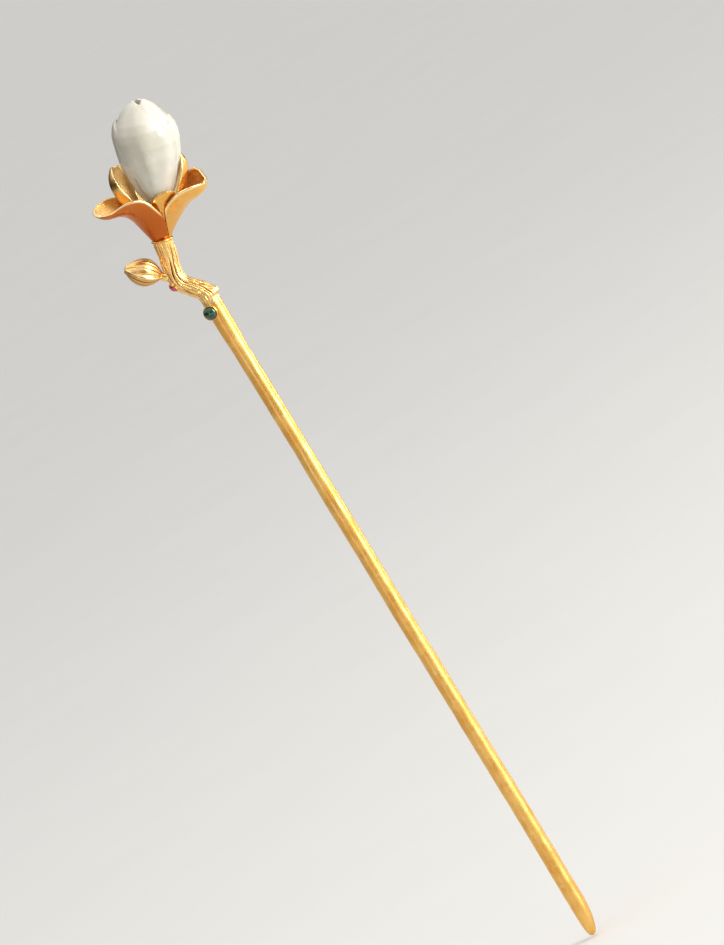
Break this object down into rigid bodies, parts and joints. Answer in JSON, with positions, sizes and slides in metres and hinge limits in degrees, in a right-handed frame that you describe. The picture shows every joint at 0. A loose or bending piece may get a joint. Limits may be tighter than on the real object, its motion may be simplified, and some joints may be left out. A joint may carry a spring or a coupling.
{
  "type": "flower hair stick",
  "caption": "Slim round hair stick with a bent branch at its top that carries a gilded open flower around a carved pale stone bud, a side bud and set cabochons.",
  "frame": {"origin": "the point of the shank, on the shank's axis", "axes": "+Z along the shank towards the flower, +X the side that the flower leans to, -Y the front, where the green stone faces"},
  "size_m": [0.0215, 0.0172, 0.1679],
  "materials": {
    "satin_gilt": "gilded, satin",
    "bark_gilt": "gilded, scored like bark",
    "petal_gilt": "gilded, sand-blasted faces and burnished rims",
    "white_stone": "polished, faintly translucent",
    "green_cabochon": "polished",
    "pink_cabochon": "polished"
  },
  "bodies": {
    "root": {"shank": "satin_gilt", "branch": "bark_gilt", "neck_collar": "satin_gilt", "flower_cup": "petal_gilt", "carving_peg": "satin_gilt", "carved_bud": "white_stone", "outer_petal_left": "petal_gilt", "outer_petal_right": "petal_gilt", "outer_petal_back": "petal_gilt", "inner_petal_front": "petal_gilt", "inner_petal_left": "petal_gilt", "inner_petal_right": "petal_gilt", "side_bud_core": "bark_gilt", "side_bud_upper_scale": "bark_gilt", "side_bud_lower_scale": "bark_gilt", "green_bezel": "satin_gilt", "green_stone": "green_cabochon", "pink_bezel": "satin_gilt", "pink_stone": "pink_cabochon"}
  },
  "joints": []
}
